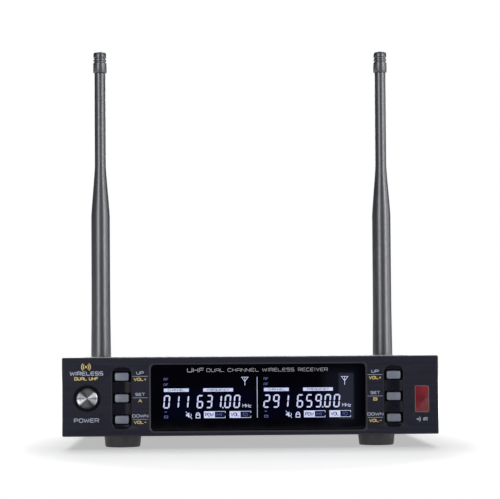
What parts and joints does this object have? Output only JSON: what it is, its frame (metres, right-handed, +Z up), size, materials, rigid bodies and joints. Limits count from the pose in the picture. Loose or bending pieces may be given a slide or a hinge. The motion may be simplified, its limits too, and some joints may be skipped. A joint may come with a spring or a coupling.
{
  "type": "wireless receiver",
  "caption": "Half-rack wireless microphone receiver with a smoked display window, button columns, a power button, rubber feet and folding antennas that swivel on rear sockets.",
  "frame": {"origin": "on the surface the feet stand on, under the centre of the whole unit's box", "axes": "+X to the right seen from the front, +Y from the front panel to the back, +Z up"},
  "size_m": [0.212, 0.1994, 0.2574],
  "materials": {
    "brushed_panel": "dark anodised, brushed along its length",
    "smoked_window": "smoked acrylic, polished",
    "black_plastic": "moulded, satin",
    "grey_button": "moulded, blue grey",
    "spun_aluminium": "turned face",
    "infrared_filter": "dark red, translucent",
    "painted_steel": "black powder coat, fine texture",
    "foot_rubber": "matt",
    "antenna_plastic": "satin, dark grey",
    "black_screw": "blackened steel",
    "nickel_plate": "nickel plate",
    "circuit_board": "solder mask",
    "tinned_shield": "tinned sheet",
    "lcd_glass": "polished",
    "backlight_diffuser": "white diffuser",
    "cable_sheath": "matt",
    "radiator_brass": "drawn rod",
    "panel_print": "pad-printed ink",
    "gold_print": "pad-printed ink",
    "lit_figures": "backlit display figures"
  },
  "bodies": {
    "case": {"bnc_jack_a": "nickel_plate", "bnc_jack_b": "nickel_plate", "bnc_nut_a": "nickel_plate", "bnc_nut_b": "nickel_plate", "bottom_chassis": "painted_steel", "coax_lead_a": "cable_sheath", "coax_lead_b": "cable_sheath", "control_board": "circuit_board", "cover_screw_front_left": "black_screw", "cover_screw_front_right": "black_screw", "cover_screw_rear_left": "black_screw", "cover_screw_rear_right": "black_screw", "dc_inlet": "black_plastic", "display_window": "smoked_window", "foot_front_left": "foot_rubber", "foot_front_right": "foot_rubber", "foot_rear_left": "foot_rubber", "foot_rear_right": "foot_rubber", "foot_screw_front_left": "black_screw", "foot_screw_front_right": "black_screw", "foot_screw_rear_left": "black_screw", "foot_screw_rear_right": "black_screw", "front_panel": "brushed_panel", "ir_window": "infrared_filter", "keypad_bezel_a": "black_plastic", "keypad_bezel_b": "black_plastic", "lcd_backlight": "backlight_diffuser", "lcd_panel": "lcd_glass", "main_board": "circuit_board", "mix_jack": "black_plastic", "mix_jack_nut": "nickel_plate", "power_bezel": "black_plastic", "power_switch": "black_plastic", "rear_panel": "painted_steel", "rf_shield_a": "tinned_shield", "rf_shield_b": "tinned_shield", "ribbon_cable": "cable_sheath", "top_cover": "painted_steel", "xlr_output_a": "nickel_plate", "xlr_output_b": "nickel_plate"},
    "up_key_a": {"button_up_a": "grey_button"},
    "set_key_a": {"button_set_a": "grey_button"},
    "down_key_a": {"button_down_a": "grey_button"},
    "ring_a": {"coupling_ring_a": "nickel_plate"},
    "plug_a": {"antenna_plug_a": "antenna_plastic", "hinge_pin_a": "nickel_plate"},
    "mast_a": {"antenna_sleeve_a": "antenna_plastic", "antenna_radiator_a": "radiator_brass", "antenna_tip_a": "antenna_plastic"},
    "up_key_b": {"button_up_b": "grey_button"},
    "set_key_b": {"button_set_b": "grey_button"},
    "down_key_b": {"button_down_b": "grey_button"},
    "ring_b": {"coupling_ring_b": "nickel_plate"},
    "plug_b": {"antenna_plug_b": "antenna_plastic", "hinge_pin_b": "nickel_plate"},
    "mast_b": {"antenna_sleeve_b": "antenna_plastic", "antenna_radiator_b": "radiator_brass", "antenna_tip_b": "antenna_plastic"},
    "power_key": {"power_button": "spun_aluminium"}
  },
  "joints": [
    {"name": "power_press", "type": "slide", "parent": "case", "child": "power_key", "axis": [0, 1, 0], "range_m": [0, 0.0025], "stiffness_N_per_m": 400, "springref_m": -0.0005},
    {"name": "up_press_a", "type": "slide", "parent": "case", "child": "up_key_a", "axis": [0, 1, 0], "range_m": [0, 0.0005], "stiffness_N_per_m": 800, "springref_m": -0.0005},
    {"name": "set_press_a", "type": "slide", "parent": "case", "child": "set_key_a", "axis": [0, 1, 0], "range_m": [0, 0.0005], "stiffness_N_per_m": 800, "springref_m": -0.0005},
    {"name": "down_press_a", "type": "slide", "parent": "case", "child": "down_key_a", "axis": [0, 1, 0], "range_m": [0, 0.0005], "stiffness_N_per_m": 800, "springref_m": -0.0005},
    {"name": "ring_turn_a", "type": "hinge", "parent": "case", "child": "ring_a", "pos_m": [-0.0955, 0.06794, 0.03], "axis": [0, 1, 0], "range_deg": [0, 90]},
    {"name": "antenna_swivel_a", "type": "hinge", "parent": "case", "child": "plug_a", "pos_m": [-0.0955, 0.06794, 0.03], "axis": [0, 1, 0], "range_deg": [-90, 20]},
    {"name": "antenna_tilt_a", "type": "hinge", "parent": "plug_a", "child": "mast_a", "pos_m": [-0.0955, 0.09294, 0.03], "axis": [-1, 0, 0], "range_deg": [0, 90]},
    {"name": "up_press_b", "type": "slide", "parent": "case", "child": "up_key_b", "axis": [0, 1, 0], "range_m": [0, 0.0005], "stiffness_N_per_m": 800, "springref_m": -0.0005},
    {"name": "set_press_b", "type": "slide", "parent": "case", "child": "set_key_b", "axis": [0, 1, 0], "range_m": [0, 0.0005], "stiffness_N_per_m": 800, "springref_m": -0.0005},
    {"name": "down_press_b", "type": "slide", "parent": "case", "child": "down_key_b", "axis": [0, 1, 0], "range_m": [0, 0.0005], "stiffness_N_per_m": 800, "springref_m": -0.0005},
    {"name": "ring_turn_b", "type": "hinge", "parent": "case", "child": "ring_b", "pos_m": [0.0955, 0.06794, 0.03], "axis": [0, 1, 0], "range_deg": [0, 90]},
    {"name": "antenna_swivel_b", "type": "hinge", "parent": "case", "child": "plug_b", "pos_m": [0.0955, 0.06794, 0.03], "axis": [0, 1, 0], "range_deg": [-20, 90]},
    {"name": "antenna_tilt_b", "type": "hinge", "parent": "plug_b", "child": "mast_b", "pos_m": [0.0955, 0.09294, 0.03], "axis": [-1, 0, 0], "range_deg": [0, 90]}
  ]
}
